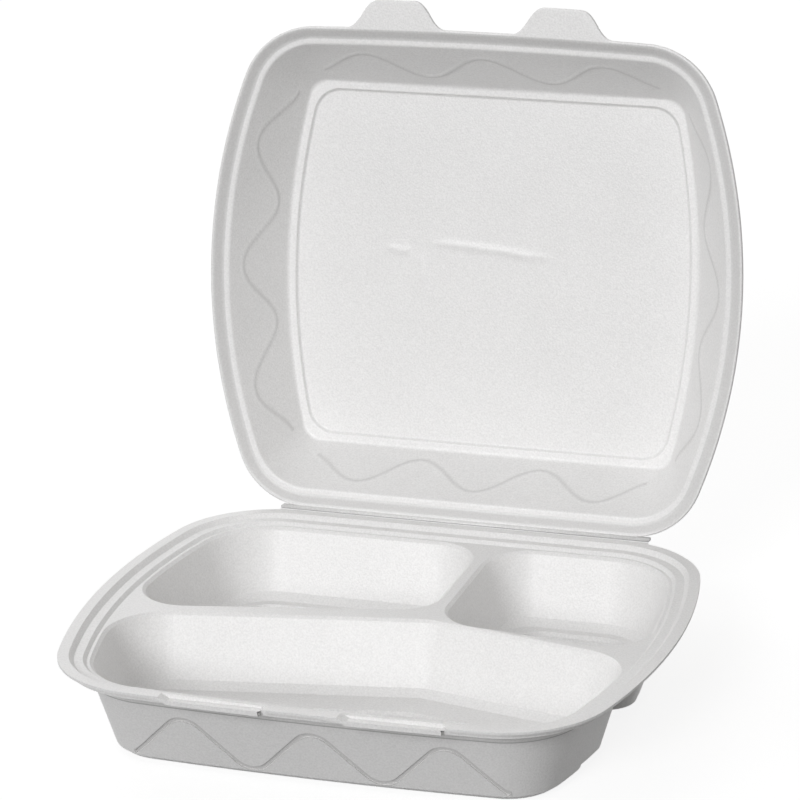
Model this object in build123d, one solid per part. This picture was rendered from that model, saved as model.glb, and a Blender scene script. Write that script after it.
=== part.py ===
from build123d import *
import cmath
import math
import os

# Hinged foam meal box: a tray with three compartments and a lid with a panel, thermoformed from one foam sheet.
# Millimetres. X is the width, Y runs back towards the hinge, Z is up. The finished part has its origin under the
# middle of the front compartment, and is drawn about the middle of the tray before that.

# Foam sheet
sheet = 2.2
draft = 17.0
bend_facets = 1

# Tray rim seen from above: straight rear edge, bowed sides, nearly straight front edge
tray_half_width = 124.0
tray_depth = 210.4
tray_side_radius = 299.0
tray_widest_from_rear = 100.5
tray_front_radius = 1308.0
tray_rear_corner = 44.8
tray_front_corner = 44.8
tray_height = 39.2
origin_ahead = 55.0

# Rim steps of the tray, measured inwards from the rim edge and down from the rim top
flange_width = 4.6
first_step_run = 2.0
first_step_drop = 1.9
first_ledge_end = 10.2
second_step_run = 1.5
second_step_drop = 1.4
pocket_inset = 14.0
shoulder_inset = 10.9
shoulder_depth = 6.9
shoulder_thick = 2.4
pocket_lip = 1.5

# Dividers between the compartments, and the rounding of the compartments where they end
web_left_x = 15.2
web_right_x = 21.6
apex_x = 18.0
apex_y = 5.8
left_slope = 0.173
right_slope = 0.20
rear_left_y = 17.4
rear_left_slope = 0.21
rear_right_y = 6.9
rear_right_slope = 0.125
apex_round = 24.0
front_left_round = 24.0
front_right_round = 22.0
web_rear_round = 20.0
web_front_round = 18.0
rear_side_round = 20.0

# Floors: a low bench beside the dividers and a deeper floor that carries the weight
bench_rise = 4.0
bench_width = 17.0
rear_bench_width = 7.0
bench_foot = 4.0
floor_foot = 3.0
floor_overlap = 8.0

# Hinge strip between the two rims
hinge_behind_tray = 4.65
hinge_below_rim = 1.9
hinge_length = 168.0
hinge_thick = 1.3
hinge_gap = 0.12
hinge_rise = 0.15
open_angle = 99.2

# Lid, described as it lies closed on the tray
lid_gap = 0.4
lid_ahead_of_hinge = 1.13
lid_web = 1.5
lid_half_width = 120.0
lid_depth = 213.8
lid_side_radius = 243.9
lid_widest_from_rear = 106.9
lid_front_radius = 2249.0
lid_rear_corner = 31.9
lid_front_corner = 33.9
lid_edge = 1.5
lid_step_run = 3.2
lid_step_drop = 2.4
lid_ledge_end = 7.8
lid_border_height = 29.4
lid_border_half = 94.2
lid_border_corner_x = 83.6
lid_border_rear = 25.7
lid_border_front = 188.1
lid_border_corner = 9.0
lid_panel_inset = 3.6
lid_panel_corner = 10.0
lid_panel_rise = 1.3
lid_panel_run = 0.8

# Locking tabs of the lid and the lowered stretches of the tray rim that take them
tab_x = 37.1
tab_root = 37.8
tab_top = 23.0
tab_length = 12.0
tab_corner = 5.0
tab_fillet = 6.0
latch_half = 21.0
latch_drop = 1.9
latch_slit = 1.6
latch_ramp = 3.5

# Wavy line pressed into the front wall: a zigzag with rounded peaks
wave_length = 54.5
wave_peak = 13.8
wave_radius = 9.0
wave_middle = 13.4
wave_reach = 78.0
groove_depth = 0.6
groove_half = 0.9

rear_y = tray_depth / 2
front_y = -tray_depth / 2
hinge_y = rear_y + hinge_behind_tray
hinge_z = tray_height - hinge_below_rim
ledge_z = tray_height - first_step_drop - second_step_drop
shoulder_low = ledge_z - shoulder_depth
grow = sheet / math.cos(math.radians(draft))
slope = math.tan(math.radians(draft))


class Straight:
    """Straight side of an outline that runs counter-clockwise. Points are complex numbers."""

    def __init__(self, start, end):
        self.start = start
        self.out = -1j * (end - start) / abs(end - start)
        self.middle = (start + end) / 2

    def out_at(self, point):
        return self.out

    def gap(self, point):
        return ((point - self.start) * self.out.conjugate()).real

    def moved(self, by):
        along = self.out * 1j
        return Straight(self.start + by * self.out, self.start + by * self.out + along)

    def edge(self, here, there, by):
        return Line((here.real, here.imag), (there.real, there.imag))


class Bowed:
    """Side of an outline that bulges outwards as an arc."""

    def __init__(self, centre, radius, out):
        self.centre = centre
        self.radius = radius
        self.out = out
        self.middle = centre + radius * out

    def out_at(self, point):
        return (point - self.centre) / abs(point - self.centre)

    def gap(self, point):
        return abs(point - self.centre) - self.radius

    def moved(self, by):
        return Bowed(self.centre, self.radius + by, self.out)

    def edge(self, here, there, by):
        return arc(self.centre, self.radius + by, self.out_at(here), self.out_at(there))


def arc(centre, radius, start, end):
    first = math.degrees(cmath.phase(start))
    turn = (math.degrees(cmath.phase(end)) - first) % 360
    return CenterArc((centre.real, centre.imag), radius, first, turn)


class Outline:
    """Closed outline of sides with a rounded corner after each. It can be drawn larger or smaller all round."""

    def __init__(self, sides, rounds):
        self.sides = sides
        self.rounds = rounds
        self.centres = []
        for k, radius in enumerate(rounds):
            a = sides[k]
            b = sides[(k + 1) % len(sides)]
            point = (a.middle + b.middle) / 2
            for _ in range(30):
                m = a.out_at(point)
                n = b.out_at(point)
                p = a.gap(point) + radius
                q = b.gap(point) + radius
                det = m.real * n.imag - m.imag * n.real
                point -= complex((p * n.imag - q * m.imag) / det, (m.real * q - n.real * p) / det)
            self.centres.append(point)

    def face(self, by=0):
        edges = []
        for k, centre in enumerate(self.centres):
            after = (k + 1) % len(self.sides)
            side = self.sides[after]
            start = self.sides[k].out_at(centre)
            end = side.out_at(centre)
            beyond = self.centres[after]
            edges.append(arc(centre, self.rounds[k] + by, start, end))
            here = centre + (self.rounds[k] + by) * end
            there = beyond + (self.rounds[after] + by) * side.out_at(beyond)
            edges.append(side.edge(here, there, by))
        return make_face(edges)


def rim(half, depth, side_radius, widest, front_radius, rear_corner, front_corner, rear):
    """Rim outline of tray or lid, and its four sides."""
    front = Bowed(complex(0, rear - depth + front_radius), front_radius, -1j)
    right = Bowed(complex(half - side_radius, rear - widest), side_radius, 1)
    back = Straight(complex(half / 2, rear), complex(-half / 2, rear))
    left = Bowed(complex(side_radius - half, rear - widest), side_radius, -1)
    return Outline([front, right, back, left], [front_corner, rear_corner, rear_corner, front_corner])


def slab(face, low, high):
    return Pos(0, 0, low) * extrude(face, high - low)


def block(upper, top, lower, low):
    """Solid between two outlines at different levels."""
    return loft([Pos(0, 0, top) * upper, Pos(0, 0, low) * lower], ruled=True)


tray_rim = rim(tray_half_width, tray_depth, tray_side_radius, tray_widest_from_rear, tray_front_radius,
               tray_rear_corner, tray_front_corner, rear_y)
tray_front, tray_right, tray_back, tray_left = [side.moved(-pocket_inset) for side in tray_rim.sides]


def front_pocket(back):
    """Full width compartment at the front; its rear edge is a shallow chevron."""
    apex = complex(apex_x, apex_y)
    right = Straight(apex + complex(tray_half_width / 2, -right_slope * tray_half_width / 2), apex)
    left = Straight(apex, apex - complex(tray_half_width / 2, left_slope * tray_half_width / 2))
    corner = tray_front_corner - pocket_inset
    return Outline([tray_front, tray_right, right.moved(-back), left.moved(-back), tray_left],
                   [corner, front_right_round, apex_round, front_left_round, corner])


def rear_left_pocket(back):
    foot = complex(web_left_x, rear_left_y)
    ahead = Straight(foot - complex(tray_half_width, rear_left_slope * tray_half_width), foot)
    web = Straight(foot, foot + 1j * tray_depth / 4)
    sides = [side.moved(-back) for side in (ahead, web, tray_back, tray_left)]
    return Outline(sides, [web_front_round, web_rear_round, tray_rear_corner - pocket_inset - back, rear_side_round])


def rear_right_pocket(back):
    foot = complex(web_right_x, rear_right_y)
    ahead = Straight(foot, foot + complex(tray_half_width / 2, -rear_right_slope * tray_half_width / 2))
    web = Straight(foot + 1j * tray_depth / 4, foot)
    sides = [side.moved(-back) for side in (ahead, tray_right, tray_back, web)]
    return Outline(sides, [rear_side_round, tray_rear_corner - pocket_inset - back, web_rear_round, web_front_round])


def bend(g, z, radius, start, end, facets):
    """Points on a rounded corner of the wall section, as offset and height."""
    turns = [math.radians(start + (end - start) * k / facets) for k in range(facets + 1)]
    return [(g + radius * math.cos(t), z + radius * math.sin(t)) for t in turns]


def cup(outline, g, top, low, foot, facets, lip=0):
    """Drafted cup that narrows downwards, with a rounded foot and, where it is open, a rounded lip."""
    reach = math.tan(math.radians(45 - draft / 2))
    if lip:
        section = bend(g + lip * reach, top - lip, lip, 90, 180 - draft, facets)
    else:
        section = [(g, top)]
    at_low = g - (top - low) * slope
    if facets:
        section += reversed(bend(at_low - foot * reach, low + foot, foot, -90, -draft, facets))
    else:
        section.append((at_low, low))
    return loft([Pos(0, 0, z) * outline.face(offset) for offset, z in section], ruled=True)


def dish(outline, top, low, inset_top, inset_low):
    """Void between two levels of the rim, also open straight upwards."""
    upper = outline.face(-inset_top)
    return block(upper, top, outline.face(-inset_low), low) + slab(upper, top, top + 6)


# Tray: rim plates, the shoulder band and the cups, less the same shapes one sheet thickness inside
tray = slab(tray_rim.face(), tray_height - sheet, tray_height)
tray += slab(tray_rim.face(1.0 - flange_width), tray_height - first_step_drop - sheet, tray_height - sheet + 0.6)
tray += slab(tray_rim.face(1.2 - first_ledge_end), ledge_z - sheet, tray_height - sheet + 0.3)
band = shoulder_depth * slope
core = shoulder_inset + shoulder_thick
shoulder = block(tray_rim.face(-shoulder_inset), ledge_z, tray_rim.face(-shoulder_inset - band), shoulder_low)
shoulder -= block(tray_rim.face(slope - core), ledge_z + 1, tray_rim.face(-core - band - slope), shoulder_low - 1)
tray += shoulder

cups = [
    (front_pocket(0), front_pocket(bench_width)),
    (rear_left_pocket(0), rear_left_pocket(rear_bench_width)),
    (rear_right_pocket(0), rear_right_pocket(rear_bench_width)),
]
drop = ledge_z - bench_rise - sheet - floor_overlap
for mouth, well in cups:
    tray += cup(mouth, grow, ledge_z - 0.2, bench_rise, bench_foot, 0)
    tray += cup(well, grow - drop * slope, ledge_z - drop, 0, floor_foot, 1)

first_low = tray_height - first_step_drop
tray -= dish(tray_rim, tray_height, first_low, flange_width, flange_width + first_step_run)
tray -= dish(tray_rim, first_low, ledge_z, first_ledge_end, first_ledge_end + second_step_run)
for mouth, well in cups:
    tray -= cup(mouth, 0, ledge_z, bench_rise + sheet, bench_foot, bend_facets, pocket_lip)
    tray -= cup(well, -drop * slope, ledge_z - drop, sheet, floor_foot, bend_facets)

# Lowered stretches of the front rim, each with a ramp at its left end and a slit at its right end
for cx in (-tab_x, tab_x):
    low_z = tray_height - latch_drop
    left = cx - latch_half
    right = cx + latch_half
    under = [
        (left, tray_height - sheet + 0.2),
        (left + latch_ramp, low_z - sheet),
        (right, low_z - sheet),
        (right, tray_height - sheet + 0.2),
    ]
    over = [
        (left, tray_height + 1),
        (left, tray_height),
        (left + latch_ramp, low_z),
        (right, low_z),
        (right, tray_height + 1),
    ]
    plane = Plane.XZ.offset(-(front_y + flange_width + 1.0))
    below = extrude(plane * make_face(Polyline(*under, close=True)), flange_width + 3)
    tray += below & slab(tray_rim.face(), low_z - sheet - 1, tray_height)
    tray -= extrude(plane * make_face(Polyline(*over, close=True)), flange_width + 4)
    tray -= Pos(right + latch_slit / 2, front_y + 1.5, tray_height) * Box(latch_slit, 5, 12)

# Half of the hinge strip that belongs to the tray
strip_low = rear_y - 3
tray += Pos(0, (strip_low + hinge_y - hinge_gap) / 2, hinge_z - hinge_thick / 2) * Box(
    hinge_length, hinge_y - hinge_gap - strip_low, hinge_thick)


def front_at(side, x):
    """How far forward a bowed front edge reaches at x."""
    return side.centre.imag - math.sqrt(side.radius ** 2 - (x - side.centre.real) ** 2)


def wave_at(x):
    """Height of the zigzag whose rounded form is the wavy line."""
    turn = (x / wave_length * 2) % 2
    return wave_middle + wave_peak * (1 - 2 * min(turn, 2 - turn))


# Wavy line pressed into the front wall of the tray, down to the foot of the wall at both ends
turns = [-wave_reach] + [k * wave_length / 2 for k in range(-2, 3)] + [wave_reach]
ribbon = trace(FilletPolyline(*[(x, wave_at(x)) for x in turns], radius=wave_radius), 2 * groove_half)
behind = grow - groove_depth
cutter = extrude(Plane.XZ.offset(-front_y) * ribbon, -tray_depth / 4)
cutter -= block(front_pocket(0).face(behind), ledge_z, front_pocket(0).face(behind - ledge_z * slope), 0)
tray -= cutter

# Lid, drawn closed on the tray
lid_rim = rim(lid_half_width, lid_depth, lid_side_radius, lid_widest_from_rear, lid_front_radius,
              lid_rear_corner, lid_front_corner, hinge_y - lid_ahead_of_hinge)
rim_z = tray_height + lid_gap
half_span = (lid_border_front - lid_border_rear) / 2
bulge = lid_border_half - lid_border_corner_x
border_radius = (half_span ** 2 + bulge ** 2) / (2 * bulge)
border_x = lid_border_half - border_radius
border_y = hinge_y - lid_border_rear - half_span
border_sides = [
    Straight(complex(-40, border_y - half_span), complex(40, border_y - half_span)),
    Bowed(complex(border_x, border_y), border_radius, 1),
    Straight(complex(40, border_y + half_span), complex(-40, border_y + half_span)),
    Bowed(complex(-border_x, border_y), border_radius, -1),
]


def border(inset, corner):
    """Outline of the lid panel: straight front and rear edges and bowed sides."""
    return Outline([side.moved(-inset) for side in border_sides], [corner] * 4).face()


def lift(face, rise):
    return Pos(0, 0, rim_z + rise) * face


lid_face = lid_rim.face()
lid_front = lid_rim.sides[0]
tip_y = front_at(lid_front, 0) - tab_length
for cx in (-tab_x, tab_x):
    ends = (cx - tab_root / 2 - 12, cx + tab_root / 2 + 12)
    base_y = [front_at(lid_front, x) for x in ends]
    tab = Sketch() + make_face(Polyline(
        (ends[0], base_y[0] + 3),
        (ends[0], base_y[0]),
        (cx - tab_root / 2, front_at(lid_front, cx - tab_root / 2)),
        (cx - tab_top / 2, tip_y),
        (cx + tab_top / 2, tip_y),
        (cx + tab_root / 2, front_at(lid_front, cx + tab_root / 2)),
        (ends[1], base_y[1]),
        (ends[1], base_y[1] + 3),
        close=True,
    ))
    tab = fillet([v for v in tab.vertices() if abs(v.Y - tip_y) < 0.01], tab_corner)
    tab = fillet([v for v in tab.vertices() if abs(abs(v.X - cx) - tab_root / 2) < 0.01], tab_fillet)
    lid_face += tab

wall_slope = (lid_half_width - lid_border_half - lid_ledge_end) / (lid_border_height - lid_step_drop)
lid_grow = sheet * math.sqrt(1 + wall_slope ** 2)
step_slope = lid_step_run / lid_step_drop
step_out = sheet * (math.sqrt(1 + step_slope ** 2) - step_slope)
ledge_up = lid_step_drop
lid = slab(lid_face, rim_z, rim_z + sheet)
lid += loft([lift(lid_rim.face(step_out - lid_edge), sheet - 0.3),
             lift(lid_rim.face(step_out - lid_edge - lid_step_run), ledge_up + sheet)], ruled=True)
lid += loft([lift(lid_rim.face(lid_grow - lid_ledge_end), ledge_up),
             lift(border(sheet * wall_slope - lid_grow, lid_border_corner + 1), lid_border_height + sheet)], ruled=True)
lid += loft([lift(border(lid_panel_inset - 1.6, lid_panel_corner + 1), lid_border_height + sheet - 0.5),
             lift(border(lid_panel_inset - 1.0, lid_panel_corner), lid_border_height + lid_panel_rise + sheet)], ruled=True)
lid -= slab(lid_rim.face(-lid_edge), rim_z - 4, rim_z) + loft(
    [lift(lid_rim.face(-lid_edge), 0), lift(lid_rim.face(-lid_edge - lid_step_run), ledge_up)], ruled=True)
lid -= slab(lid_rim.face(-lid_ledge_end), rim_z - 4, rim_z + ledge_up) + loft(
    [lift(lid_rim.face(-lid_ledge_end), ledge_up), lift(border(0, lid_border_corner), lid_border_height)], ruled=True)
lid -= slab(border(lid_panel_inset, lid_panel_corner), rim_z + ledge_up, rim_z + lid_border_height) + loft(
    [lift(border(lid_panel_inset, lid_panel_corner), lid_border_height),
     lift(border(lid_panel_inset + lid_panel_run, lid_panel_corner), lid_border_height + lid_panel_rise)], ruled=True)

# Half of the hinge strip that belongs to the lid: a narrow web standing on the crease
web_low = hinge_z + hinge_rise
lid += Pos(0, hinge_y - hinge_gap - lid_web / 2, (web_low + rim_z + sheet) / 2) * Box(
    hinge_length, lid_web, rim_z + sheet - web_low)

lid = lid.rotate(Axis((0, hinge_y, hinge_z), (1, 0, 0)), -open_angle)

# The origin moves to the middle of the front floor, which the tray stands on
tray = Pos(0, origin_ahead, 0) * tray
lid = Pos(0, origin_ahead, 0) * lid

os.makedirs("parts", exist_ok=True)
export_step(tray, "parts/tray.step")
export_step(lid, "parts/lid.step")
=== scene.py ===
import math

import bmesh
import bpy
import numpy as np
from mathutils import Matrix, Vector, geometry


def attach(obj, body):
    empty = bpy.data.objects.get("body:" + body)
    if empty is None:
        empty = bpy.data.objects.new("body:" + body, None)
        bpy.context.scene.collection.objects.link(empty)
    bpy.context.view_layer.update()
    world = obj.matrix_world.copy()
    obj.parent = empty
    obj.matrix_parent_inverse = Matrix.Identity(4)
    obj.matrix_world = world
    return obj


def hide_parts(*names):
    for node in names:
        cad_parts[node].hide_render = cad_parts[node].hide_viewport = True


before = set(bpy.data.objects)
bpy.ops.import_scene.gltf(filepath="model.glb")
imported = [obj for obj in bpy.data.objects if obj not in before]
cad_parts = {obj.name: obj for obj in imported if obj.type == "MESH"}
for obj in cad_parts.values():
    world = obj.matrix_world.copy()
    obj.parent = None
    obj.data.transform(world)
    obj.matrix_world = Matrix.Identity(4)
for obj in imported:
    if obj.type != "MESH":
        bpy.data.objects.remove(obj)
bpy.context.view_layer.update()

# Camera: stands a little to the right of the box's front and looks slightly down on it, from about 1.6 m.
# The lens is long, so that the lid and the tray keep nearly parallel sides as in the photograph.
azimuth = math.radians(18.632)
elevation = math.radians(19.036)
roll = math.radians(-1.490)
aim = Vector((0.0, 0.08491, 0.12202))
distance = 1.575618
focal_pixels = 3838.745
frame_pixels = 800
sensor = 36.0
back = Vector((math.sin(azimuth) * math.cos(elevation), -math.cos(azimuth) * math.cos(elevation),
               math.sin(elevation)))
level_right = (-back).cross(Vector((0, 0, 1))).normalized()
level_up = level_right.cross(-back).normalized()
right = level_right * math.cos(roll) + level_up * math.sin(roll)
up = level_up * math.cos(roll) - level_right * math.sin(roll)
camera_data = bpy.data.cameras.new("camera")
camera_data.sensor_width = sensor
camera_data.lens = focal_pixels / frame_pixels * sensor
camera_data.clip_end = 20
camera = bpy.data.objects.new("camera", camera_data)
bpy.context.scene.collection.objects.link(camera)
matrix = camera.matrix_world.copy()
place = aim + back * distance
for row in range(3):
    matrix[row][0] = right[row]
    matrix[row][1] = up[row]
    matrix[row][2] = back[row]
    matrix[row][3] = place[row]
camera.matrix_world = matrix
bpy.context.scene.camera = camera

# Foam sheet: expanded polystyrene, white, with closed cells under a thin skin that glints a little.
# Tray and lid are thermoformed from one web of it, so both have the same finish.
dull_foam = (0.74, 0.735, 0.73, 1)
bright_foam = (0.93, 0.925, 0.92, 1)
# Painted shade: the foam's colour is darkened towards this where a mask is set
painted_shade_foam = (0.34, 0.335, 0.33, 1)
skin_roughness = 0.42
skin_gloss = 0.7
cell_scale = 1250.0
cell_contrast = 1.4
cell_relief = 0.3
cell_depth = 0.0004
cloud_scale = 30.0
cloud_contrast = 0.3


class Wire:
    """Output of a node in a material, so that sums on it can be written as ordinary maths."""

    def __init__(self, tree, out=None):
        self.tree = tree
        self.out = out

    def node(self, kind, settings=None, sockets=None, out=0):
        made = self.tree.nodes.new(kind)
        for name, value in (settings or {}).items():
            setattr(made, name, value)
        for name, value in (sockets or {}).items():
            if isinstance(value, Wire):
                self.tree.links.new(value.out, made.inputs[name])
            else:
                made.inputs[name].default_value = value
        return Wire(self.tree, made.outputs[out] if made.outputs else None)

    def maths(self, operation, first, second=0.0):
        return self.node("ShaderNodeMath", {"operation": operation}, {0: first, 1: second})

    def __add__(self, other):
        return self.maths("ADD", self, other)

    __radd__ = __add__

    def __sub__(self, other):
        return self.maths("SUBTRACT", self, other)

    def __rsub__(self, other):
        return self.maths("SUBTRACT", other, self)

    def __mul__(self, other):
        return self.maths("MULTIPLY", self, other)

    __rmul__ = __mul__


def foam(name, painted_shade):
    """White foam; the second argument gives a mask of where shade is painted darker into the colour, in
    grooves and along steps of the sheet.
    """
    material = bpy.data.materials.new(name)
    material.use_nodes = True
    tree = material.node_tree
    shader = tree.nodes["Principled BSDF"]
    shader.inputs["Roughness"].default_value = skin_roughness
    shader.inputs["Specular IOR Level"].default_value = skin_gloss
    start = Wire(tree)
    place = start.node("ShaderNodeTexCoord", out="Object")
    cells = start.node("ShaderNodeTexNoise", {"noise_dimensions": "3D"},
                       {"Vector": place, "Scale": cell_scale, "Detail": 2.0, "Roughness": 0.6})
    clouds = start.node("ShaderNodeTexNoise", {"noise_dimensions": "3D"},
                        {"Vector": place, "Scale": cloud_scale, "Detail": 3.0, "Roughness": 0.5})
    pale = (cells - 0.5) * cell_contrast + (clouds - 0.5) * cloud_contrast + 0.5
    plain = start.node("ShaderNodeMix", {"data_type": "RGBA"},
                       {"Factor": pale, "A": dull_foam, "B": bright_foam}, out="Result")
    # Painted shade: the colour turns darker where the mask is set
    colour = start.node("ShaderNodeMix", {"data_type": "RGBA"},
                        {"Factor": painted_shade(start), "A": plain, "B": painted_shade_foam}, out="Result")
    relief = start.node("ShaderNodeBump", {},
                        {"Strength": cell_relief, "Distance": cell_depth, "Height": cells}, out="Normal")
    tree.links.new(colour.out, shader.inputs["Base Color"])
    tree.links.new(relief.out, shader.inputs["Normal"])
    return material


# Tray: three compartments under a stepped rim, formed in one sheet with the hinge strip. The mould presses a
# wavy line into the front wall and a bead under the rim; both get a line of painted shade. Sizes are in
# millimetres.
MM = 0.001
tray_middle = 55.0
tray_rear = 105.2
tray_depth = 210.4
tray_half_width = 124.0
tray_widest = 100.5
tray_side_radius = 299.0
tray_front_radius = 1308.0
tray_corner = 44.8

# The wavy line's painted shade: its centre follows straight slopes with rounded crests; it is darkest in its
# core and then fades
wave_length = 54.5
wave_peak = 13.8
wave_radius = 9.0
wave_middle = 13.4
wave_sink = 0.1
wave_reach = 79.0
wave_core = 0.5
wave_fade = 1.3
wave_dark = 0.4
crest_narrowing = 0.075
outer_wall = 68.0
front_facing = -0.6
shoulder_low = 29.0
# Painted shadow: a dark line along the foot of the shoulder, under the rim
shoulder_shadow_core = 0.2
shoulder_shadow_fade = 0.7
shoulder_shadow_dark = 0.75


def tray_painted_shade(start):
    """Mask of painted shade: in the wavy groove on the front wall, and a painted shadow along the foot of the
    shoulder.
    """
    place = start.node("ShaderNodeTexCoord", out="Object")
    facing = start.node("ShaderNodeTexCoord", out="Normal")
    spot = start.node("ShaderNodeVectorMath", {"operation": "MULTIPLY_ADD"},
                      {0: place, 1: (1 / MM, 1 / MM, 1 / MM), 2: (0, -tray_middle, 0)}, out="Vector")
    flat = start.node("ShaderNodeVectorMath", {"operation": "MULTIPLY"}, {0: spot, 1: (1, 1, 0)},
                      out="Vector")
    reach = start.node("ShaderNodeVectorMath", {"operation": "DOT_PRODUCT"}, {0: flat, 1: facing},
                       out="Value")
    outer = start.maths("GREATER_THAN", reach, outer_wall)
    across = start.node("ShaderNodeSeparateXYZ", {}, {"Vector": spot}, out="X")
    height = start.node("ShaderNodeSeparateXYZ", {}, {"Vector": spot}, out="Z")
    forward = start.node("ShaderNodeSeparateXYZ", {}, {"Vector": facing}, out="Y")
    steep = 4 * wave_peak / wave_length
    lean = math.hypot(1, steep)
    tangent = wave_radius * steep / lean
    from_crest = start.maths("PINGPONG", across, wave_length / 2)
    from_trough = wave_length / 2 - from_crest

    def rounding(away):
        near = start.maths("MINIMUM", away, tangent)
        return wave_radius * lean - near * steep - start.maths("SQRT", wave_radius ** 2 - near * near)

    def dark_line(off, core, fade, dark):
        return start.node("ShaderNodeMapRange", {"interpolation_type": "SMOOTHSTEP"},
                          {"Value": off, "From Min": fade, "From Max": core, "To Min": 0.0, "To Max": dark})

    crest = rounding(from_crest)
    trough = rounding(from_trough)
    line = wave_middle + wave_peak - from_crest * steep - crest + trough
    narrowing = 1 / lean + (crest + trough) * crest_narrowing
    off = start.maths("ABSOLUTE", height - line + wave_sink) * narrowing
    # Painted shade in the wavy groove on the front wall
    wave = dark_line(off, wave_core, wave_fade, wave_dark)
    ahead = start.maths("LESS_THAN", forward, front_facing)
    inside = start.maths("LESS_THAN", start.maths("ABSOLUTE", across), wave_reach)
    # Painted shadow along the foot of the shoulder, under the rim
    shoulder_shadow = dark_line(start.maths("ABSOLUTE", height - shoulder_low), shoulder_shadow_core, shoulder_shadow_fade, shoulder_shadow_dark)
    return start.maths("MAXIMUM", wave * ahead * inside, shoulder_shadow) * outer


# A straight side is drawn as an arc of this radius
straight = 2e4


def bowed_sides(rear, depth, half_width, side_radius, widest, front_radius=straight):
    """Front, right, rear and left side of an outline. Each is an arc: centre, radius, outward direction.

    The rear side is straight, and widest is how far ahead of it the outline is widest.
    """
    return [
        (complex(0, rear - depth + front_radius), front_radius, -1j),
        (complex(half_width - side_radius, rear - widest), side_radius, 1),
        (complex(0, rear - straight), straight, 1j),
        (complex(side_radius - half_width, rear - widest), side_radius, -1),
    ]


# Points round each corner and along the side after it, in the order of the sides
counts = [(34, 120), (34, 130), (34, 120), (34, 160)]
corner_steps = 40


def outline(sides, rounds, by=0.0):
    """Points of a closed outline as complex numbers: a rounded corner after each side, then the next side.

    The corners' centres are found step by step, and by makes the whole outline larger all round.
    """
    corners = []
    for k, round_radius in enumerate(rounds):
        centre_a, radius_a, out_a = sides[k]
        centre_b, radius_b, out_b = sides[(k + 1) % len(sides)]
        point = (centre_a + radius_a * out_a + centre_b + radius_b * out_b) / 2
        for _ in range(corner_steps):
            m = (point - centre_a) / abs(point - centre_a)
            n = (point - centre_b) / abs(point - centre_b)
            p = abs(point - centre_a) - radius_a + round_radius
            q = abs(point - centre_b) - radius_b + round_radius
            det = m.real * n.imag - m.imag * n.real
            point -= complex((p * n.imag - q * m.imag) / det, (m.real * q - n.real * p) / det)
        corners.append((point, m, n))
    points = []
    for k, (point, start, end) in enumerate(corners):
        corner_count, side_count = counts[k]
        turn = np.angle(end / start) % (2 * math.pi)
        sweep = np.exp(1j * turn * np.arange(corner_count) / corner_count)
        points.append(point + (rounds[k] + by) * start * sweep)
        after = (k + 1) % len(sides)
        centre, radius, _ = sides[after]
        _, begin, _ = corners[after]
        turn = np.angle(begin / end)
        sweep = np.exp(1j * turn * np.arange(side_count) / side_count)
        points.append(centre + (radius + by) * end * sweep)
    return np.concatenate(points)


# The flange is cut where the mould squeezed it thin: its lower outer edge is raised towards the upper one
thinned = 1.1
flange_low = 37.1
edge_band = 1.0
tray_sides = bowed_sides(tray_rear, tray_depth, tray_half_width, tray_side_radius, tray_widest,
                         tray_front_radius)
rim_edge = outline(tray_sides, [tray_corner] * 4)
tray_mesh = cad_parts["tray"].data.copy()
tray_mesh.name = "tray_shell"
tray_mesh.materials.clear()
tray_mesh.materials.append(foam("tray_foam", tray_painted_shade))
for vertex in tray_mesh.vertices:
    x, y, z = vertex.co / MM
    if shoulder_low < z < flange_low and abs(rim_edge - complex(x, y - tray_middle)).min() < edge_band:
        vertex.co.z += thinned * MM
tray = bpy.data.objects.new("tray_shell", tray_mesh)
bpy.context.scene.collection.objects.link(tray)
soften = tray.modifiers.new("soft_edges", "BEVEL")
soften.width = 0.7 * MM
soften.segments = 3
soften.limit_method = "ANGLE"
soften.angle_limit = math.radians(30)
even = tray.modifiers.new("even_shading", "WEIGHTED_NORMAL")
even.keep_sharp = True
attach(tray, "tray")
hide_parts("tray")

# Lid: a cap formed in the same sheet as the tray, whose stepped rim seats on the tray's. Its flat panel lies
# in a double line, the mould presses a wavy line into its walls, and the panel is creased where it was pushed.
# It is drawn closed, in millimetres from the tray's middle, and then opened about the hinge.
hinge_y = 109.85
hinge_z = 37.3
open_angle = math.radians(99.2)
rim_z = 39.6
sheet = 2.2
rim_to_hinge = 1.13
lid_rear = hinge_y - rim_to_hinge
lid_depth = 213.8
lid_half_width = 120.0
lid_side_radius = 243.9
lid_front_radius = 2249.0
lid_rounds = [33.9, 31.9, 31.9, 33.9]
lid_sides = bowed_sides(lid_rear, lid_depth, lid_half_width, lid_side_radius, lid_depth / 2,
                        lid_front_radius)
border_half = 94.2
border_corner_x = 83.6
border_rear = 25.7
border_front = 188.1
half_span = (border_front - border_rear) / 2
bulge = border_half - border_corner_x
border_radius = (half_span ** 2 + bulge ** 2) / (2 * bulge)
border_y = hinge_y - border_rear - half_span


def level(points, rise):
    """Ring of an outline at one height above the rim."""
    return np.stack([points.real, points.imag, np.full(len(points), rim_z + rise)], axis=1)


def lid_ring(by, rise):
    """Ring of the lid's outline, drawn larger by a margin."""
    return level(outline(lid_sides, lid_rounds, by), rise)


def border_ring(inset, corner, rise):
    """Ring of the panel's border, drawn smaller by inset."""
    sides = bowed_sides(border_y + half_span, 2 * half_span, border_half, border_radius, half_span)
    shrunk = [(centre, radius - inset, out) for centre, radius, out in sides]
    return level(outline(shrunk, [corner] * 4), rise)


# Locking tabs stand out of the front edge
tab_x = 37.1
tab_root = 37.8
tab_top = 23.0
tab_length = 12.0
tab_round = 3.0
tab_samples = 9


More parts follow.
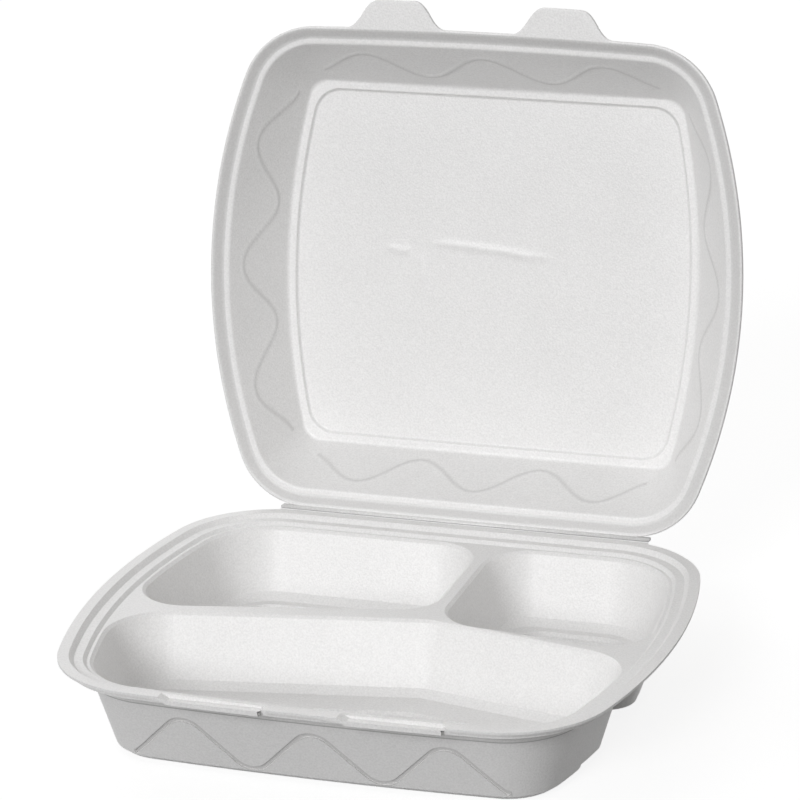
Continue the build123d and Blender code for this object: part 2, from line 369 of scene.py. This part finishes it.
def tab_reach(x):
    """How far the front edge stands out at x, with rounded corners and fillets."""
    reach = np.zeros_like(x)
    for centre in (-tab_x, tab_x):
        for shift in np.linspace(-tab_round, tab_round, tab_samples):
            away = np.abs(x + shift - centre)
            slope = np.clip((tab_root / 2 - away) / (tab_root / 2 - tab_top / 2), 0, 1)
            reach += slope * tab_length / tab_samples
    return reach


def with_tabs(ring):
    """The ring with its front edge drawn out to the tabs."""
    ring = ring.copy()
    front = ring[:, 1] < border_y - half_span
    ring[front, 1] -= tab_reach(ring[front, 0])
    return ring


# A rounded crease is drawn with this many rows, and takes at most this share of the way to the next ring
bend_samples = 5
bend_share = 0.48


def rounded_rows(keys):
    """Rows between key rings. Each key is (ring, rounding, rows to the next), and its crease is rounded."""
    rows = []
    for k, (ring, bend, between) in enumerate(keys):
        before = keys[k - 1][0] if k else ring
        after = keys[k + 1][0] if k + 1 < len(keys) else ring
        reach_before = np.linalg.norm(before - ring, axis=1, keepdims=True)
        reach_after = np.linalg.norm(after - ring, axis=1, keepdims=True)
        if bend and 0 < k < len(keys) - 1:
            a = ring + (before - ring) * np.minimum(bend, reach_before * bend_share) / reach_before
            c = ring + (after - ring) * np.minimum(bend, reach_after * bend_share) / reach_after
            for t in np.linspace(0, 1, bend_samples):
                rows.append((1 - t) ** 2 * a + 2 * t * (1 - t) * ring + t * t * c)
        else:
            rows.append(ring)
        if k + 1 < len(keys):
            start = rows[-1]
            goal, goal_bend, _ = keys[k + 1]
            if goal_bend and k + 2 < len(keys):
                lengths = np.linalg.norm(ring - goal, axis=1, keepdims=True)
                goal = goal + (ring - goal) * np.minimum(goal_bend, lengths * bend_share) / lengths
            for step in range(1, between):
                rows.append(start + (goal - start) * step / between)
    return rows


# Section of the sheet: the inner skin runs from the panel out to the rim, and the outer skin comes back
edge = 1.5
step_run = 3.2
step_drop = 2.4
ledge_end = 7.8
border_height = 29.4
panel_inset = 3.6
panel_rise = 1.3
panel_height = border_height + panel_rise
line_run = 0.8
wall_rows = 40
wall_corner = 9.0
panel_corner = 12.0
line_corner = 12.5
top_of_wall = border_ring(0, wall_corner, border_height)
foot_of_wall = lid_ring(-ledge_end, step_drop)
rows = rounded_rows([
    (border_ring(panel_inset + 2.6, panel_corner, panel_height), 0, 1),
    (border_ring(panel_inset + line_run, panel_corner, panel_height), 0.7, 1),
    (border_ring(panel_inset, line_corner, border_height), 0.5, 1),
    (top_of_wall, 1.4, wall_rows),
    (foot_of_wall, 0.8, 1),
    (lid_ring(-edge - step_run, step_drop), 1.0, 1),
    (lid_ring(-edge, 0), 0.8, 2),
    (with_tabs(lid_ring(0, 0)), 0.7, 1),
    (with_tabs(lid_ring(0, sheet)), 0.7, 2),
    (lid_ring(-0.7, sheet), 0.6, 1),
    (lid_ring(-edge - step_run + 0.4, step_drop + sheet), 1.0, 1),
    (lid_ring(-ledge_end + 2.6, step_drop + sheet), 1.2, 8),
    (border_ring(-1.6, wall_corner + 1, border_height + sheet), 1.6, 1),
    (border_ring(panel_inset - 1.2, panel_corner, border_height + sheet), 0.5, 1),
    (border_ring(panel_inset - 0.6, panel_corner, panel_height + sheet), 0.7, 1),
    (border_ring(panel_inset + 1.2, panel_corner, panel_height + sheet), 0, 1),
])
ring_size = len(top_of_wall)

# Wavy line pressed into the inner walls, along the sides but not round the corners
wave_share = 0.27
groove_depth = 0.45
groove_half = 0.75
# Painted shade in the wavy groove
wave_painted_shade = 0.3
# Painted shade on the rim's step
rim_step_painted_shade = 0.3

# A row is on the wall when it keeps these margins; a corner has its line far off, where it presses nothing
far_off = -50.0
hair = 0.02
wall_margin = 0.8
skin_margin = 0.3


def wave_down_wall(travelled, wall_length):
    """How far down the wall the wavy line lies at each ring point, and how much its slope narrows it."""
    line = np.full(ring_size, far_off)
    lean = np.ones(ring_size)
    first = 0
    for corner_count, side_count in counts:
        first += corner_count
        side = slice(first, first + side_count)
        first += side_count
        along = travelled[side] - (travelled[side][0] + travelled[side][-1]) / 2
        turn = 2 * math.pi * along / wave_length
        swing = wave_share * wall_length[side]
        line[side] = wall_length[side] / 2 + swing * np.cos(turn)
        lean[side] = 1 / np.sqrt(1 + (swing * 2 * math.pi / wave_length * np.sin(turn)) ** 2)
    return line, lean


wall_way = foot_of_wall - top_of_wall
wall_length = np.linalg.norm(wall_way, axis=1)
tangent = np.roll(top_of_wall, -1, axis=0) - np.roll(top_of_wall, 1, axis=0)
outward = np.cross(tangent, wall_way)
outward /= np.linalg.norm(outward, axis=1, keepdims=True)
middle = (top_of_wall + foot_of_wall) / 2
travelled = np.concatenate([[0], np.cumsum(np.linalg.norm(np.diff(middle, axis=0), axis=1))])
wave_line, wave_lean = wave_down_wall(travelled, wall_length)

# The rows of the inner skin come first, down to the rim's lowest ring; those on the rim's step get painted
# shade, and so do the wall rows in the wavy groove
painted_shade_rows = [np.zeros(ring_size) for row in rows]
before_rim = True
for row, painted_shade_row in zip(rows, painted_shade_rows):
    height = row[:, 2] - rim_z
    before_rim = before_rim and height.min() > hair
    if before_rim and height.max() < step_drop - hair:
        # Painted shade on the rim's step
        painted_shade_row[:] = rim_step_painted_shade
    if height.min() > step_drop + wall_margin and height.max() < border_height - wall_margin:
        share = (border_height - height) / (border_height - step_drop)
        if np.linalg.norm(row - (top_of_wall + wall_way * share[:, None]), axis=1).max() < skin_margin:
            groove = np.exp(-((share * wall_length - wave_line) * wave_lean / groove_half) ** 2)
            row += outward * (groove_depth * groove)[:, None]
            # Painted shade in the groove
            painted_shade_row[:] = wave_painted_shade * groove

# Creases of the panel: ridges towards the inside of the lid, as (points, height, half width)
creases = [
    ([(-49.5, -5.5), (-42.0, -4.2), (-36.6, -4.6)], 0.35, 1.6),
    ([(-30.0, -8.4), (-20.0, -8.4), (-9.6, -8.0), (-2.0, -7.4), (8.0, -6.8), (16.0, -5.6), (29.0, -5.6)],
     0.5, 1.5),
    ([(-33.0, -3.0), (-31.8, 2.0), (-32.2, 6.8), (-33.4, 11.0), (-34.0, 16.0)], 0.3, 1.5),
]
crease_fade = 5
buckle = 0.15
buckle_half_width = 78.0
buckle_margin = 8.0
buckle_fade = 25.0
buckle_across = 17.0
buckle_along = 23.0


def panel_relief(x, y):
    """How far the creased panel stands in towards the food, in millimetres."""
    inner = np.clip((half_span - buckle_margin - abs(y - border_y)) / buckle_fade, 0, 1)
    inner *= np.clip((buckle_half_width - abs(x)) / buckle_fade, 0, 1)
    relief = buckle * inner * math.sin(x / buckle_across + 1) * math.sin(y / buckle_along + 2)
    for points, rise, half in creases:
        best = math.inf
        for k, ((ax, ay), (bx, by)) in enumerate(zip(points, points[1:])):
            t = ((x - ax) * (bx - ax) + (y - ay) * (by - ay)) / ((bx - ax) ** 2 + (by - ay) ** 2)
            t = min(max(t, 0), 1)
            gap = math.hypot(x - ax - t * (bx - ax), y - ay - t * (by - ay))
            if gap < best:
                best = gap
                share = (k + t) / (len(points) - 1)
        fade = min(min(share, 1 - share) * crease_fade, 1)
        relief += rise * fade * math.exp(-(best / half) ** 2)
    return relief


near_in_depth = 2.0
triangles_inside = 1
merging = 1e-6


def filled(ring, spacings, margin):
    """Flat filling of a bowed ring: points in a grid, finer where asked, and triangles between them."""
    ys = ring[:, 1]

    def inside(x, y):
        if not ys.min() + margin < y < ys.max() - margin:
            return False
        near = np.abs(ys - y) < near_in_depth
        return abs(x) < np.abs(ring[near, 0]).max() - margin if near.any() else False

    low = ring.min(axis=0)
    high = ring.max(axis=0)
    grid = []
    for spacing, box in spacings:
        for x in np.arange(max(low[0], box[0]), min(high[0], box[1]), spacing):
            for y in np.arange(max(low[1], box[2]), min(high[1], box[3]), spacing):
                finer = any(b[0] < x < b[1] and b[2] < y < b[3] for s, b in spacings if s < spacing)
                if inside(x, y) and not finer:
                    grid.append((x, y))
    points = [Vector((p[0], p[1])) for p in ring] + [Vector(p) for p in grid]
    edges = [(k, (k + 1) % len(ring)) for k in range(len(ring))]
    made = geometry.delaunay_2d_cdt(points, edges, [list(range(len(ring)))], triangles_inside, merging, True)
    return made[0], made[2], made[3]


def skin(name, rows, fills):
    """Mesh of a closed sheet: quads between the rows, and a filling inside the first and the last row."""
    vertices = [tuple(p) for row in rows for p in row]
    faces = []
    size = len(rows[0])
    for r in range(len(rows) - 1):
        for k in range(size):
            after = (k + 1) % size
            faces.append((r * size + k, r * size + after, (r + 1) * size + after, (r + 1) * size + k))
    for row_index, points, triangles, origins, height in fills:
        table = []
        for k, point in enumerate(points):
            ring_points = [o for o in origins[k] if o < size]
            if ring_points:
                table.append(row_index * size + ring_points[0])
            else:
                table.append(len(vertices))
                vertices.append((point[0], point[1], height(point[0], point[1])))
        faces += [tuple(table[v] for v in triangle) for triangle in triangles]
    mesh = bpy.data.meshes.new(name)
    mesh.from_pydata(vertices, [], faces)
    return mesh


def opened(mesh):
    """Turns a mesh drawn closed, in millimetres, to the open rest position in metres."""
    coords = np.empty(len(mesh.vertices) * 3)
    mesh.vertices.foreach_get("co", coords)
    coords = coords.reshape(-1, 3)
    y = coords[:, 1] - hinge_y
    z = coords[:, 2] - hinge_z
    turned = np.stack([
        coords[:, 0],
        hinge_y + tray_middle + y * math.cos(open_angle) + z * math.sin(open_angle),
        hinge_z - y * math.sin(open_angle) + z * math.cos(open_angle),
    ], axis=1) * MM
    mesh.vertices.foreach_set("co", turned.ravel())


def finished(mesh, material):
    """Object of a mesh with its normals outwards, smooth shading and a material."""
    shape = bmesh.new()
    shape.from_mesh(mesh)
    bmesh.ops.remove_doubles(shape, verts=shape.verts, dist=merging)
    bmesh.ops.recalc_face_normals(shape, faces=shape.faces)
    shape.to_mesh(mesh)
    shape.free()
    mesh.shade_smooth()
    mesh.materials.append(material)
    made = bpy.data.objects.new(mesh.name, mesh)
    bpy.context.scene.collection.objects.link(made)
    return made


def lid_painted_shade(start):
    """Mask of painted shade on the rim's step and in the wavy grooves of the walls, kept with the lid's mesh.
    """
    return start.node("ShaderNodeAttribute", {"attribute_name": "painted_shade"}, out="Fac")


# Boxes are (x from, x to, y from, y to); the panel's grid is finer where it is creased
whole = (-200, 200, -200, 200)
creased = (-58, 40, -20, 24)
panel_spacing = 4.0
crease_spacing = 0.9
back_spacing = 8.0
inner_fill = filled(rows[0], [(panel_spacing, whole), (crease_spacing, creased)], 2.5)
outer_fill = filled(rows[-1], [(back_spacing, whole)], back_spacing / 2)
panel_z = rim_z + panel_height
lid_mesh = skin("lid_shell", rows, [
    (0, *inner_fill, lambda x, y: panel_z - panel_relief(x, y)),
    (len(rows) - 1, *outer_fill, lambda x, y: panel_z + sheet),
])
opened(lid_mesh)
# Painted shade, kept with the mesh for the lid's material
painted_shade = np.zeros(len(lid_mesh.vertices))
painted_shade[:len(rows) * ring_size] = np.concatenate(painted_shade_rows)
lid_mesh.attributes.new("painted_shade", "FLOAT", "POINT").data.foreach_set("value", painted_shade)
lid_foam = foam("lid_foam", lid_painted_shade)
lid = finished(lid_mesh, lid_foam)
lid.modifiers.new("even_shading", "WEIGHTED_NORMAL")
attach(lid, "lid")
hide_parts("lid")

# Hinge web: the strip between the two rims, of the same sheet, thinned and creased so that it folds.
# This half hangs from the lid, and the other half is part of the tray.
web_width = 168.0
web_reach = 1.5
web_gap = 0.12
web_low = hinge_z + 0.15
web_high = rim_z + sheet - 0.3
web_round = 0.25
web_mesh = bpy.data.meshes.new("lid_web")
shape = bmesh.new()
bmesh.ops.create_cube(shape, size=1.0)
for vertex in shape.verts:
    vertex.co.x *= web_width
    vertex.co.y = hinge_y - web_gap - web_reach / 2 + vertex.co.y * web_reach
    vertex.co.z = (web_low + web_high) / 2 + vertex.co.z * (web_high - web_low)
bmesh.ops.bevel(shape, geom=shape.edges[:], offset=web_round, segments=2, affect="EDGES")
shape.to_mesh(web_mesh)
shape.free()
opened(web_mesh)
web = finished(web_mesh, lid_foam)
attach(web, "lid")

# Studio: a white floor and background, and plain daylight with less of it from overhead. A broad lamp stands
# in front, near the camera's height, and a softer one behind the box on the left.
floor_half = 6.0
floor_z = -0.0004
floor_glow = 0.86
floor_seen = (0.22, 0.22, 0.22, 1)
floor_lighting = (0.08, 0.08, 0.08, 1)
sky_colour = (1.0, 0.985, 0.97, 1)
sky_level = 0.5
sky_fall = 0.2
lamp_colour = (0.985, 0.99, 1.0)
lamps = (("key", -8, 25, 1.62, 24), ("side", -130, 40, 0.9, 40))


def seen_plain(start):
    """1 for rays from the camera, from a mirror or through clear material, which see the white."""
    seen_by = start.node("ShaderNodeLightPath", out="Is Camera Ray")
    mirrored = start.node("ShaderNodeLightPath", out="Is Glossy Ray")
    through = start.node("ShaderNodeLightPath", out="Is Transmission Ray")
    return seen_by + mirrored + through


floor_mesh = bpy.data.meshes.new("floor")
floor_corners = [(x * floor_half, y * floor_half, floor_z) for x, y in ((-1, -1), (1, -1), (1, 1), (-1, 1))]
floor_mesh.from_pydata(floor_corners, [], [(0, 1, 2, 3)])
floor = bpy.data.objects.new("floor", floor_mesh)
bpy.context.scene.collection.objects.link(floor)
white = bpy.data.materials.new("white_floor")
white.use_nodes = True
white.node_tree.nodes.clear()
start = Wire(white.node_tree)
glow = start.node("ShaderNodeEmission", {}, {"Color": (1, 1, 1, 1), "Strength": floor_glow})
lit = start.node("ShaderNodeBsdfDiffuse", {}, {"Color": floor_seen})
bright = start.node("ShaderNodeAddShader", {}, {0: glow, 1: lit})
dim = start.node("ShaderNodeBsdfDiffuse", {}, {"Color": floor_lighting})
both = start.node("ShaderNodeMixShader", {}, {"Fac": seen_plain(start), 1: dim, 2: bright})
start.node("ShaderNodeOutputMaterial", {}, {"Surface": both})
floor_mesh.materials.append(white)

world = bpy.data.worlds.new("world")
bpy.context.scene.world = world
world.use_nodes = True
world.node_tree.nodes.clear()
start = Wire(world.node_tree)
way = start.node("ShaderNodeTexCoord", out="Generated")
overhead = start.node("ShaderNodeSeparateXYZ", {}, {"Vector": way}, out="Z")
sky_light = sky_level - start.maths("MAXIMUM", overhead) * sky_fall
sky = start.node("ShaderNodeBackground", {}, {"Color": sky_colour, "Strength": sky_light})
paper = start.node("ShaderNodeBackground", {}, {"Color": (1, 1, 1, 1), "Strength": 1.0})
both = start.node("ShaderNodeMixShader", {}, {"Fac": seen_plain(start), 1: sky, 2: paper})
start.node("ShaderNodeOutputWorld", {}, {"Surface": both})

for name, around, rise, strength, breadth in lamps:
    lamp_data = bpy.data.lights.new(name, "SUN")
    lamp_data.energy = strength
    lamp_data.color = lamp_colour
    lamp_data.angle = math.radians(breadth)
    lamp = bpy.data.objects.new(name, lamp_data)
    bpy.context.scene.collection.objects.link(lamp)
    turn, tilt = math.radians(around), math.radians(rise)
    toward = Vector((math.sin(turn) * math.cos(tilt), -math.cos(turn) * math.cos(tilt), math.sin(tilt)))
    lamp.rotation_euler = toward.to_track_quat("Z", "Y").to_euler()

bpy.context.scene.view_settings.view_transform = "Standard"
